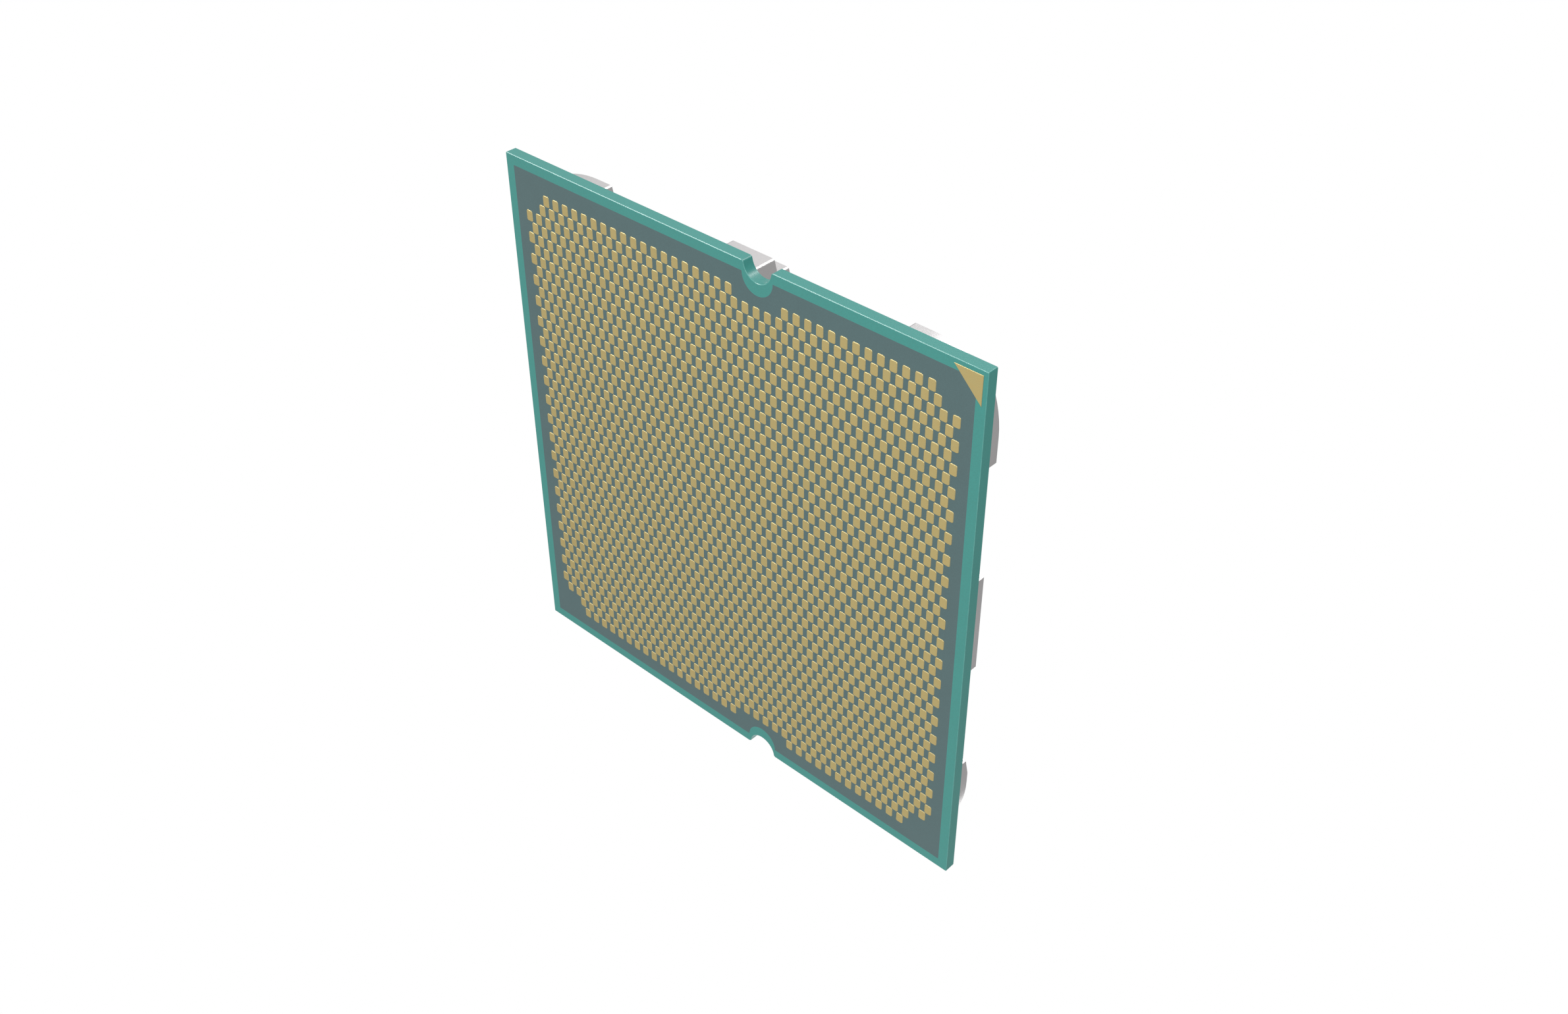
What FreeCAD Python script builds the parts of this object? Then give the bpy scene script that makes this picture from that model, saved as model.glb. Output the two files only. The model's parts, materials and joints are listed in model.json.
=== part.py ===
import FreeCAD
import Part
import Sketcher
import math
import os

# A desktop processor in a land grid package, lying as it does in its socket: contact pads down,
# heat spreader up. Origin: the centre of the card, on the plane of the pads' contact faces.
# Every size is in millimetres.

SIZES = {
    # The laminate card and its layers.
    "package_side": (40.0, "side of the square card"),
    "core_thickness": (0.445, "glass-fibre core laminate"),
    "build_up_thickness": (0.2, "dielectric build-up on each side of the core"),
    "plane_thickness": (0.03, "copper plane on each face of the core"),
    "plane_inset": (1.1, "from the card's edge to the copper planes"),
    "mask_thickness": (0.02, "solder mask let into each outer face"),
    "mask_inset": (0.73, "plain margin between the card's edge and the mask"),
    "edge_break": (0.035, "chamfer along the card's outer edges"),
    "card_corner": (0.08, "fillet on the card's upright corner edges"),
    "notch_lip": (0.2, "fillet where a notch meets the card's edge"),
    "notch_radius": (1.14, "locating notches, centred on the card's edge"),
    "mask_notch_radius": (1.27, "the notches' outline in the mask and the copper planes"),
    "notch_shift": (2.91, "from the card's centre line to the notches, towards -Y"),
    "via_radius": (0.12, "plated holes through the core"),
    "via_pitch": (2.6, "grid of the plated holes"),
    "via_count": (13, "plated holes along one side of the grid"),
    # The contact pads and the pin-one marks.
    "land_thickness": (0.03, "how far a pad stands out of the card"),
    "land_length": (0.805, "pad, along X"),
    "land_width": (0.57, "pad, along Y"),
    "land_corner": (0.13, "pad's corner radius"),
    "land_row_pitch": (0.8234, "between rows of pads, along X"),
    "land_step": (0.46416, "half the pitch of the pads in a row, along Y"),
    "land_rows": (44, "rows of pads"),
    "land_steps": (79, "half-pitch places in a row"),
    "land_shift_x": (0.09, "centre of the whole field of pads, along X"),
    "land_shift_y": (-0.02, "the same along Y"),
    "mark_leg": (2.03, "short sides of the pin-one triangles"),
    "mark_inset": (0.31, "from the card's edges to the triangles"),
    "lid_mark_thickness": (0.02, "triangle on the lid side"),
    # The heat spreader.
    "adhesive_thickness": (0.1, "adhesive under each leg"),
    "lid_half_x": (18.98, "from the centre to the legs' outer faces along X"),
    "lid_half_y": (19.16, "from the centre to the corner legs' outer faces along Y"),
    "y_leg_setback": (0.12, "how far the middle legs on the Y sides stand back from the corner legs"),
    "flange_height": (1.935, "top of the legs' step above the card"),
    "plateau_height": (2.945, "top face above the card"),
    "plateau_half_x": (17.72, "from the centre to the top face's edge along X, over the corner legs"),
    "plateau_tab_x": (18.1, "the same over the middle legs on the X sides"),
    "plateau_half_y": (17.98, "from the centre to the top face's edge along Y"),
    "plateau_corner": (3.5, "corner radius of the top face"),
    "corner_arc_radius": (8.0, "arcs that lead into the corners"),
    "corner_arc_start": (14.0, "where those arcs leave the straight sides"),
    "x_leg_half": (1.78, "half width of the middle legs on the X sides"),
    "y_leg_half": (3.62, "half width of the middle legs on the Y sides"),
    "x_corner_leg": (12.72, "where the corner legs begin on the X sides"),
    "y_corner_leg": (12.24, "where the corner legs begin on the Y sides"),
    "cutout_floor": (15.1, "from the centre to the floor of the cut-outs"),
    "cutout_taper": (1.1, "how much each side of a cut-out closes in from mouth to floor"),
    "cutout_corner": (2.4, "radius inside the cut-outs"),
    "cutout_reach": (21.0, "how far out the cut-outs' tool runs"),
    "cavity_half": (15.6, "half side of the cavity over the dies"),
    "cavity_corner": (2.5, "corner radius of the cavity"),
    "leg_edge": (0.2, "fillet on the upright edges of the legs on the X sides"),
    "top_break": (0.05, "chamfer round the top face and the step"),
    "leg_bevel_length": (0.9, "slanting cut at the end of one corner leg, along X"),
    "leg_bevel_depth": (0.2, "the same along Y"),
    "bead_setback": (0.4, "from a leg's edges to its adhesive"),
    # The dies and what joins them to the card and the heat spreader.
    "bump_height": (0.07, "solder bumps under the dies"),
    "bump_radius": (0.14, "solder bumps"),
    "bump_pitch": (0.9, "grid of the bumps"),
    "die_thickness": (0.75, "silicon"),
    "solder_thickness": (0.25, "solder between a die and the heat spreader"),
    "underfill_margin": (0.5, "how far the underfill runs out past a die"),
    "underfill_height": (0.35, "how far it climbs the die's sides"),
    "compute_die_x": (7.2, "compute die along X"),
    "compute_die_y": (9.9, "compute die along Y"),
    "compute_centre_x": (4.6, "from the centre line to a compute die's centre"),
    "compute_centre_y": (6.4, "compute dies' centres, towards +Y"),
    "io_die_x": (12.6, "input/output die along X"),
    "io_die_y": (9.8, "input/output die along Y"),
    "io_centre_y": (5.6, "input/output die's centre, towards -Y"),
    # The capacitors on the lid side, in the cut-outs.
    "chip_length": (1.0, "capacitor over its terminals"),
    "chip_width": (0.5, "capacitor"),
    "chip_height": (0.5, "capacitor"),
    "chip_terminal": (0.24, "length of each end terminal"),
    "chip_inner_row": (16.55, "inner ring of capacitors from the centre"),
    "chip_outer_row": (18.25, "outer ring of capacitors from the centre"),
    "chip_solder": (0.2, "foot of the solder fillet at each end"),
}

# Heights of the card's faces, as expressions over the sheet.
LAND_FACE = "sizes.land_thickness"
CORE_BOTTOM = LAND_FACE + " + sizes.build_up_thickness"
CORE_TOP = CORE_BOTTOM + " + sizes.core_thickness"
LID_FACE = CORE_TOP + " + sizes.build_up_thickness"
DIE_BOTTOM = LID_FACE + " + sizes.bump_height"
DIE_TOP = DIE_BOTTOM + " + sizes.die_thickness"

MARGIN_ROWS = {0: (4, 74), 1: (3, 75), 42: (4, 74), 43: (5, 73)}  # first and last place in the end rows
NOTCH_PLACE = 33       # the place in a row that faces the notches
NOTCH_CLEAR = 4        # places left empty on each side of it, in the first and the last row
CHIPS_ON_X = (7, 3.6, 10.9)    # capacitors in a cut-out of an X side: how many, from where, to where
CHIPS_ON_Y = (5, 5.4, 10.5)    # the same for a Y side
CHIP_NOTCH_CLEAR = 2.0         # no outer capacitor stands nearer a notch than this

doc = FreeCAD.newDocument("processor")
sheet = doc.addObject("Spreadsheet::Sheet", "sizes")


def fill_sheet():
    """Give the sheet one row for each size: its name, its value under that alias, and what it is."""
    for row, (alias, (size, note)) in enumerate(SIZES.items(), start=1):
        sheet.set("A%d" % row, alias)
        sheet.set("B%d" % row, str(size))
        sheet.setAlias("B%d" % row, alias)
        sheet.set("C%d" % row, note)
    doc.recompute()


def size(alias):
    """The sheet's value of one size."""
    return float(getattr(sheet, alias))


def value(expression):
    """The number that an expression over the sheet comes to."""
    return float(sheet.evalExpression(expression))


# ---- Small helpers for bodies and sketches ----


def new_body(name, bottom):
    """A body whose own z = 0 stands at the height given by the expression `bottom`."""
    body = doc.addObject("PartDesign::Body", name)
    body.Label = name
    body.setExpression("Placement.Base.z", bottom)
    return body


def origin_plane(body, role):
    """One of the body's own origin planes."""
    return [plane for plane in body.Origin.OriginFeatures if plane.Role == role][0]


def new_sketch(body, name, height="0"):
    """A sketch parallel to the body's XY plane, at the height given by an expression."""
    sketch = body.newObject("Sketcher::SketchObject", body.Name + "_" + name)
    sketch.AttachmentSupport = [(origin_plane(body, "XY_Plane"), "")]
    sketch.MapMode = "FlatFace"
    sketch.setExpression("AttachmentOffset.Base.z", height)
    return sketch


def drive(sketch, constraint, label, expression):
    """Add a constraint, name it and bind it to the sheet."""
    index = sketch.addConstraint(constraint)
    sketch.renameConstraint(index, label)
    sketch.setExpression("Constraints." + label, expression)


def draw_polygon(sketch, corners):
    """Draw a closed outline of straight lines; each corner is an (x, y) pair of expressions."""
    first = sketch.GeometryCount
    spots = [FreeCAD.Vector(value(x), value(y), 0) for x, y in corners]
    for start, end in zip(spots, spots[1:] + spots[:1]):
        sketch.addGeometry(Part.LineSegment(start, end))
    for number, (x, y) in enumerate(corners):
        line = first + number
        line_before = first + (number - 1) % len(corners)
        sketch.addConstraint(Sketcher.Constraint("Coincident", line_before, 2, line, 1))
        across = Sketcher.Constraint("DistanceX", -1, 1, line, 1, value(x))
        up = Sketcher.Constraint("DistanceY", -1, 1, line, 1, value(y))
        drive(sketch, across, "x_%d" % line, x)
        drive(sketch, up, "y_%d" % line, y)


def draw_centred_rectangle(sketch, length, width):
    """Draw a rectangle about the sketch's origin."""
    right = "(%s) / 2" % length
    back = "(%s) / 2" % width
    left, front = "-" + right, "-" + back
    draw_polygon(sketch, [(left, front), (right, front), (right, back), (left, back)])


def draw_rounded_rectangle(sketch, length, width, corner):
    """Draw a rectangle with round corners about the sketch's origin."""
    half_length, half_width, radius = value(length) / 2, value(width) / 2, value(corner)
    first = sketch.GeometryCount
    for quarter in range(4):
        turn = FreeCAD.Rotation(FreeCAD.Vector(0, 0, 1), 90 * quarter)
        half_along, half_out = (half_width, half_length) if quarter % 2 == 0 else (half_length, half_width)
        begin = turn.multVec(FreeCAD.Vector(half_out, radius - half_along, 0))
        end = turn.multVec(FreeCAD.Vector(half_out, half_along - radius, 0))
        centre = turn.multVec(FreeCAD.Vector(half_out - radius, half_along - radius, 0))
        circle = Part.Circle(centre, FreeCAD.Vector(0, 0, 1), radius)
        start_angle = math.radians(90 * quarter)
        sketch.addGeometry(Part.LineSegment(begin, end))
        sketch.addGeometry(Part.ArcOfCircle(circle, start_angle, start_angle + math.pi / 2))
    for quarter in range(4):
        line = first + 2 * quarter
        line_after = first + 2 * ((quarter + 1) % 4)
        level = "Vertical" if quarter % 2 == 0 else "Horizontal"
        sketch.addConstraint(Sketcher.Constraint(level, line))
        sketch.addConstraint(Sketcher.Constraint("Tangent", line, 2, line + 1, 1))
        sketch.addConstraint(Sketcher.Constraint("Tangent", line + 1, 2, line_after, 1))
        drive(sketch, Sketcher.Constraint("Radius", line + 1, radius), "radius_%d" % quarter, corner)
    for line, kind, expression in (
            (0, "DistanceX", "(%s) / 2" % length), (2, "DistanceY", "(%s) / 2" % width),
            (4, "DistanceX", "-(%s) / 2" % length), (6, "DistanceY", "-(%s) / 2" % width)):
        constraint = Sketcher.Constraint(kind, -1, 1, first + line, 1, value(expression))
        drive(sketch, constraint, "side_%d" % line, expression)


def draw_circle(sketch, x, y, radius):
    """Draw a circle; its centre and radius are expressions."""
    centre = FreeCAD.Vector(value(x), value(y), 0)
    circle = sketch.addGeometry(Part.Circle(centre, FreeCAD.Vector(0, 0, 1), value(radius)))
    drive(sketch, Sketcher.Constraint("DistanceX", -1, 1, circle, 3, value(x)), "x_%d" % circle, x)
    drive(sketch, Sketcher.Constraint("DistanceY", -1, 1, circle, 3, value(y)), "y_%d" % circle, y)
    drive(sketch, Sketcher.Constraint("Radius", circle, value(radius)), "radius_%d" % circle, radius)


def add_pad(body, sketch, length):
    """Pad a sketch upwards."""
    pad = body.newObject("PartDesign::Pad", sketch.Name + "_pad")
    pad.Profile = sketch
    pad.setExpression("Length", length)
    sketch.Visibility = False
    return pad


def add_pocket(body, sketch, length, upwards):
    """Cut a sketch out of the body and make sure that it did cut."""
    doc.recompute()
    volume_before = body.Shape.Volume
    pocket = body.newObject("PartDesign::Pocket", sketch.Name + "_pocket")
    pocket.Profile = sketch
    pocket.Reversed = upwards
    pocket.setExpression("Length", length)
    doc.recompute()
    if body.Shape.Volume >= volume_before:
        raise RuntimeError(pocket.Name + " cut nothing")
    return pocket


def edge_names(shape, wanted):
    """The names of the edges for which wanted(edge) is true."""
    return ["Edge%d" % number for number, edge in enumerate(shape.Edges, start=1) if wanted(edge)]


def is_upright(edge):
    """True for a straight edge parallel to Z."""
    start, end = edge.Vertexes[0].Point, edge.Vertexes[-1].Point
    sideways = abs(start.x - end.x) + abs(start.y - end.y)
    return sideways < 1e-6 and abs(start.z - end.z) > 1e-6


def is_level_at(edge, height):
    """True for an edge that lies in the plane z = height."""
    box = edge.BoundBox
    return abs(box.ZMin - height) < 1e-6 and abs(box.ZMax - height) < 1e-6


def add_dress_up(body, kind, name, wanted, amount):
    """Fillet or chamfer the edges of the body's last feature that wanted(edge) picks."""
    doc.recompute()
    base = body.Tip
    dress = body.newObject("PartDesign::" + kind, body.Name + "_" + name)
    dress.Base = (base, edge_names(base.Shape, wanted))
    dress.setExpression("Radius" if kind == "Fillet" else "Size", amount)
    base.Visibility = False
    return dress


def make_group(name, solids):
    """One sub-part made of separate solids."""
    group = doc.addObject("Part::Feature", name)
    group.Shape = Part.makeCompound(solids)
    group.Placement = FreeCAD.Placement()
    group.Label = name
    return group


def copies_at(shape, places):
    """Copies of a shape, moved to each (x, y)."""
    return [shape.translated(FreeCAD.Vector(x, y, 0)) for x, y in places]


def cut_away(name, base, tools):
    """The base object with the tools' shapes taken out of it."""
    tool = tools[0]
    if len(tools) > 1:
        tool = doc.addObject("Part::Compound", name + "_tools")
        tool.Links = tools
    cut = doc.addObject("Part::Cut", name)
    cut.Base = base
    cut.Tool = tool
    cut.Label = name
    return cut


# ---- The card ----


def notched_plate(name, inset, thickness, bottom, notch="sizes.mask_notch_radius"):
    """A square layer of the card, `inset` smaller all round, with the two notches of radius `notch`."""
    body = new_body(name, bottom)
    side = "(sizes.package_side - 2 * %s)" % inset
    outline = new_sketch(body, "outline")
    draw_centred_rectangle(outline, side, side)
    add_pad(body, outline, thickness)
    notches = new_sketch(body, "notches")
    draw_circle(notches, side + " / 2", "-sizes.notch_shift", notch)
    draw_circle(notches, "-" + side + " / 2", "-sizes.notch_shift", notch)
    add_pocket(body, notches, thickness, upwards=True)
    return body


def is_card_corner(edge):
    """True for the four upright edges at the card's corners."""
    spot = edge.Vertexes[0].Point
    half = size("package_side") / 2
    return is_upright(edge) and abs(abs(spot.x) - half) < 1e-3 and abs(abs(spot.y) - half) < 1e-3


def is_notch_lip(edge):
    """True for the upright edges where a notch meets the card's edge."""
    spot = edge.Vertexes[0].Point
    half = size("package_side") / 2
    return is_upright(edge) and abs(abs(spot.x) - half) < 1e-3 and abs(spot.y) < half / 2


def full_plate(name, thickness, bottom):
    """A layer with the card's whole outline, its corners and notch lips slightly rounded."""
    body = notched_plate(name, "0", thickness, bottom, notch="sizes.notch_radius")
    add_dress_up(body, "Fillet", "corners", is_card_corner, "sizes.card_corner")
    add_dress_up(body, "Fillet", "lips", is_notch_lip, "sizes.notch_lip")
    return body


def via_places():
    """The grid of the plated holes."""
    count = int(size("via_count"))
    ticks = [(number - (count - 1) / 2) * size("via_pitch") for number in range(count)]
    return [(x, y) for x in ticks for y in ticks]


def make_vias():
    """The copper plugs through the core, as one group."""
    via = doc.addObject("Part::Cylinder", "via")
    via.setExpression("Radius", "sizes.via_radius")
    via.setExpression("Height", "sizes.core_thickness")
    via.setExpression("Placement.Base.z", CORE_BOTTOM)
    doc.recompute()
    return make_group("core_vias", copies_at(via.Shape, via_places()))


def make_card():
    """The card's layers, from the land side up."""
    mask_land = notched_plate("solder_mask_land_side", "sizes.mask_inset", "sizes.mask_thickness", LAND_FACE)
    plane_land = notched_plate(
        "copper_plane_land_side", "sizes.plane_inset", "sizes.plane_thickness",
        CORE_BOTTOM + " - sizes.plane_thickness")
    plane_lid = notched_plate(
        "copper_plane_lid_side", "sizes.plane_inset", "sizes.plane_thickness", CORE_TOP)
    mask_lid = notched_plate(
        "solder_mask_lid_side", "sizes.mask_inset", "sizes.mask_thickness",
        LID_FACE + " - sizes.mask_thickness")
    vias = make_vias()

    land_plate = full_plate("land_side_plate", "sizes.build_up_thickness", LAND_FACE)
    add_dress_up(land_plate, "Chamfer", "edge_break", lambda edge: is_level_at(edge, 0), "sizes.edge_break")
    lid_plate = full_plate("lid_side_plate", "sizes.build_up_thickness", CORE_TOP)
    top = size("build_up_thickness")
    add_dress_up(lid_plate, "Chamfer", "edge_break", lambda edge: is_level_at(edge, top), "sizes.edge_break")
    core_plate = full_plate("core_plate", "sizes.core_thickness", CORE_BOTTOM)
    return [
        mask_land, mask_lid, plane_land, plane_lid, vias,
        cut_away("core_laminate", core_plate, [vias]),
        cut_away("build_up_land_side", land_plate, [mask_land, plane_land]),
        cut_away("build_up_lid_side", lid_plate, [mask_lid, plane_lid]),
    ]


# ---- The contact pads and the pin-one marks ----


def land_places():
    """The staggered lattice of pads: every other place is used, and the place parity swaps by row."""
    rows = int(size("land_rows"))
    steps = int(size("land_steps"))
    for row in range(rows):
        first, last = MARGIN_ROWS.get(row, (0, steps - 1))
        for place in range(first, last + 1):
            staggered_out = (row + place) % 2 == 1
            beside_notch = row in (0, rows - 1) and abs(place - NOTCH_PLACE) <= NOTCH_CLEAR
            if staggered_out or beside_notch:
                continue
            x = (row - (rows - 1) / 2) * size("land_row_pitch")
            y = (place - (steps - 1) / 2) * size("land_step")
            yield x, y


def make_lands():
    """The gold pads, in four banks by quarter of the card."""
    pad_body = new_body("land_pad", "0")
    outline = new_sketch(pad_body, "outline")
    draw_centred_rectangle(outline, "sizes.land_length", "sizes.land_width")
    add_pad(pad_body, outline, "sizes.land_thickness")
    add_dress_up(pad_body, "Fillet", "corners", is_upright, "sizes.land_corner")
    doc.recompute()
    banks = {"land_pads_pin_one": [], "land_pads_left": [], "land_pads_right": [], "land_pads_far": []}
    shift_x, shift_y = size("land_shift_x"), size("land_shift_y")
    for x, y in land_places():
        if y < 0:
            bank = "land_pads_pin_one" if x < 0 else "land_pads_right"
        else:
            bank = "land_pads_left" if x < 0 else "land_pads_far"
        banks[bank].append((x + shift_x, y + shift_y))
    return [make_group(name, copies_at(pad_body.Shape, places)) for name, places in banks.items()]


def make_mark(name, thickness, bottom):
    """A gold right-angled triangle in the pin-one corner, at -X and -Y."""
    body = new_body(name, bottom)
    near = "(-sizes.package_side / 2 + sizes.mark_inset)"
    far = "(%s + sizes.mark_leg)" % near
    outline = new_sketch(body, "outline")
    draw_polygon(outline, [(near, near), (far, near), (near, far)])
    add_pad(body, outline, thickness)
    return body


# ---- The heat spreader ----


def draw_corner_trim(sketch):
    """Draw what is trimmed off one corner: two arcs that meet on the diagonal, and three lines outside."""
    radius, start = size("corner_arc_radius"), size("corner_arc_start")
    half_x, half_y, reach = size("lid_half_x"), size("lid_half_y"), size("cutout_reach")
    centres = [FreeCAD.Vector(half_x - radius, start, 0), FreeCAD.Vector(start, half_y - radius, 0)]
    circles = [Part.Circle(centre, FreeCAD.Vector(0, 0, 1), radius) for centre in centres]
    meetings = circles[0].intersect(circles[1])
    corner = max(((point.X, point.Y) for point in meetings), key=sum)
    spots = [
        FreeCAD.Vector(half_x, start, 0), FreeCAD.Vector(reach, start, 0), FreeCAD.Vector(reach, reach, 0),
        FreeCAD.Vector(start, reach, 0), FreeCAD.Vector(start, half_y, 0), FreeCAD.Vector(*corner, 0),
    ]
    first = sketch.GeometryCount
    for begin, end in zip(spots[:4], spots[1:5]):
        sketch.addGeometry(Part.LineSegment(begin, end))
    arcs = []
    for circle, centre, begin, end in (
            (circles[1], centres[1], spots[5], spots[4]), (circles[0], centres[0], spots[0], spots[5])):
        angles = [circle.parameter(begin), circle.parameter(end)]
        arcs.append(sketch.addGeometry(Part.ArcOfCircle(circle, *angles)))
    arc_y, arc_x = arcs
    joins = [(first, 2, first + 1, 1), (first + 1, 2, first + 2, 1), (first + 2, 2, first + 3, 1),
             (first + 3, 2, arc_y, 2), (arc_y, 1, arc_x, 2), (arc_x, 1, first, 1)]
    for join in joins:
        sketch.addConstraint(Sketcher.Constraint("Coincident", *join))
    for line in (first, first + 2):
        sketch.addConstraint(Sketcher.Constraint("Horizontal", line))
    for line in (first + 1, first + 3):
        sketch.addConstraint(Sketcher.Constraint("Vertical", line))
    drive(sketch, Sketcher.Constraint("Radius", arc_x, radius), "arc_x_radius", "sizes.corner_arc_radius")
    drive(sketch, Sketcher.Constraint("Radius", arc_y, radius), "arc_y_radius", "sizes.corner_arc_radius")
    places = [
        (arc_x, 3, "DistanceX", "sizes.lid_half_x - sizes.corner_arc_radius"),
        (arc_x, 3, "DistanceY", "sizes.corner_arc_start"),
        (arc_y, 3, "DistanceX", "sizes.corner_arc_start"),
        (arc_y, 3, "DistanceY", "sizes.lid_half_y - sizes.corner_arc_radius"),
        (first, 1, "DistanceY", "sizes.corner_arc_start"),
        (first + 3, 2, "DistanceX", "sizes.corner_arc_start"),
        (first + 1, 2, "DistanceX", "sizes.cutout_reach"),
        (first + 1, 2, "DistanceY", "sizes.cutout_reach"),
    ]
    for number, (geometry, point, kind, expression) in enumerate(places):
        constraint = Sketcher.Constraint(kind, -1, 1, geometry, point, value(expression))
        drive(sketch, constraint, "trim_%d" % number, expression)


def mirror_to_four(body, feature):
    """Repeat a feature of the first quarter in the other three."""
    both = body.newObject("PartDesign::MultiTransform", feature.Name + "_quarters")
    mirrors = []
    for role in ("YZ_Plane", "XZ_Plane"):
        mirror = body.newObject("PartDesign::Mirrored", feature.Name + "_over_" + role[:2])
        mirror.MirrorPlane = (origin_plane(body, role), [""])
        mirrors.append(mirror)
    both.Originals = [feature]
    both.Transformations = mirrors
    body.Tip = both
    doc.recompute()
    return both


def is_cutout_corner(edge):
    """True for an upright edge on the floor line of a cut-out."""
    spot = edge.Vertexes[0].Point
    outer = max(abs(spot.x), abs(spot.y))
    return is_upright(edge) and abs(outer - size("cutout_floor")) < 1e-3


def is_leg_edge(edge):
    """True for an upright edge at the mouth of a cut-out of an X side, on the step or on the face above it."""
    spot = edge.Vertexes[0].Point
    out = abs(spot.x)
    on_face = min(abs(out - size(face)) for face in ("lid_half_x", "plateau_tab_x", "plateau_half_x")) < 1e-3
    straight = (size("x_corner_leg") + size("corner_arc_start")) / 2
    beside_tab = abs(out - size("plateau_half_x")) < 1e-3 and abs(spot.y) < size("x_corner_leg") / 2
    return is_upright(edge) and on_face and abs(spot.y) < straight and not beside_tab


def is_step_rim(edge):
    """True for an edge of the step that lies outside the wall that rises from it."""
    if not is_level_at(edge, size("flange_height") - size("adhesive_thickness")):
        return False
    middle = edge.valueAt((edge.FirstParameter + edge.LastParameter) / 2)
    over_tab = abs(middle.y) < size("x_corner_leg") / 2
    past_x = abs(middle.x) - size("plateau_tab_x" if over_tab else "plateau_half_x")
    past_y = abs(middle.y) - size("plateau_half_y")
    return max(past_x, past_y) > 1e-3


def draw_cutout(sketch, on_x_side):
    """Draw a cut-out of the first quarter: it opens outwards and closes in towards its floor."""
    leg, corner, face = ("x_leg_half", "x_corner_leg", "lid_half_x")
    if not on_x_side:
        leg, corner, face = ("y_leg_half", "y_corner_leg", "lid_half_y")
    depth = "(sizes.%s - sizes.cutout_floor)" % face
    flare = "(sizes.cutout_taper * (sizes.cutout_reach - sizes.%s) / %s)" % (face, depth)
    outline = [
        ("sizes.cutout_floor", "sizes.%s + sizes.cutout_taper" % leg),
        ("sizes.cutout_reach", "sizes.%s - %s" % (leg, flare)),
        ("sizes.cutout_reach", "sizes.%s + %s" % (corner, flare)),
        ("sizes.cutout_floor", "sizes.%s - sizes.cutout_taper" % corner),
    ]
    if not on_x_side:
        outline = [(y, x) for x, y in reversed(outline)]
    draw_polygon(sketch, outline)


def draw_setback(sketch):
    """Draw what the middle legs on the Y sides stand back by, between the mouths of their cut-outs."""
    far = "(sizes.y_leg_half + sizes.y_corner_leg) / 2"
    face = "(sizes.lid_half_y - sizes.y_leg_setback)"
    for side in ("", "-"):
        draw_polygon(sketch, [
            ("-" + far, side + face), (far, side + face),
            (far, side + "sizes.cutout_reach"), ("-" + far, side + "sizes.cutout_reach")])


def draw_tabs(sketch):
    """Draw the parts of the top face that reach out over the middle legs on the X sides."""
    root = "(sizes.plateau_half_x - sizes.leg_edge)"
    taper = "sizes.cutout_taper / (sizes.lid_half_x - sizes.cutout_floor)"
    root_half, end_half = [
        "(sizes.x_leg_half + (sizes.lid_half_x - %s) * %s)" % (x, taper) for x in (root, "sizes.plateau_tab_x")]
    for side in ("", "-"):
        draw_polygon(sketch, [
            (side + root, "-" + root_half), (side + "sizes.plateau_tab_x", "-" + end_half),
            (side + "sizes.plateau_tab_x", end_half), (side + root, root_half)])


def draw_leg_bevel(sketch):
    """Draw the slanting cut at the inner end of the +X corner leg on the -Y side."""
    start = "(sizes.y_corner_leg - sizes.leg_bevel_length)"
    end = "(sizes.y_corner_leg + sizes.leg_bevel_length)"
    deep = "-(sizes.lid_half_y - 2 * sizes.leg_bevel_depth)"
    draw_polygon(sketch, [
        (start, deep), (end, "-sizes.lid_half_y"), (end, "-sizes.cutout_reach"), (start, "-sizes.cutout_reach")])


def make_heat_spreader():
    """The plated copper lid: eight legs, a stepped rim and a cavity over the dies."""
    body = new_body("heat_spreader", LID_FACE + " + sizes.adhesive_thickness")
    full_height = "(sizes.plateau_height - sizes.adhesive_thickness)"
    block = new_sketch(body, "block")
    draw_centred_rectangle(block, "2 * sizes.lid_half_x", "2 * sizes.lid_half_y")
    add_pad(body, block, full_height)

    quarter = new_sketch(body, "quarter_cuts")
    draw_cutout(quarter, on_x_side=True)
    draw_cutout(quarter, on_x_side=False)
    draw_corner_trim(quarter)
    mirror_to_four(body, add_pocket(body, quarter, full_height, upwards=True))
    add_dress_up(body, "Fillet", "cutout_corners", is_cutout_corner, "sizes.cutout_corner")
    setback = new_sketch(body, "setback")
    draw_setback(setback)
    add_pocket(body, setback, full_height, upwards=True)
    bevel = new_sketch(body, "bevel")
    draw_leg_bevel(bevel)
    add_pocket(body, bevel, full_height, upwards=True)

    step = new_sketch(body, "step", full_height)
    reach = "2 * sizes.cutout_reach"
    draw_centred_rectangle(step, reach, reach)
    draw_rounded_rectangle(
        step, "2 * sizes.plateau_half_x", "2 * sizes.plateau_half_y", "sizes.plateau_corner")
    add_pocket(body, step, "sizes.plateau_height - sizes.flange_height", upwards=False)
    tabs = new_sketch(body, "tabs", "sizes.flange_height - sizes.adhesive_thickness")
    draw_tabs(tabs)
    add_pad(body, tabs, "sizes.plateau_height - sizes.flange_height")
    add_dress_up(body, "Fillet", "leg_edges", is_leg_edge, "sizes.leg_edge")
    add_dress_up(body, "Chamfer", "step_break", is_step_rim, "sizes.top_break")
    top = value(full_height)
    add_dress_up(body, "Chamfer", "top_break", lambda edge: is_level_at(edge, top), "sizes.top_break")

    cavity = new_sketch(body, "cavity")
    cavity_side = "2 * sizes.cavity_half"
    draw_rounded_rectangle(cavity, cavity_side, cavity_side, "sizes.cavity_corner")
    ceiling = "sizes.bump_height + sizes.die_thickness + sizes.solder_thickness - sizes.adhesive_thickness"
    add_pocket(body, cavity, ceiling, upwards=True)
    return body


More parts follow.
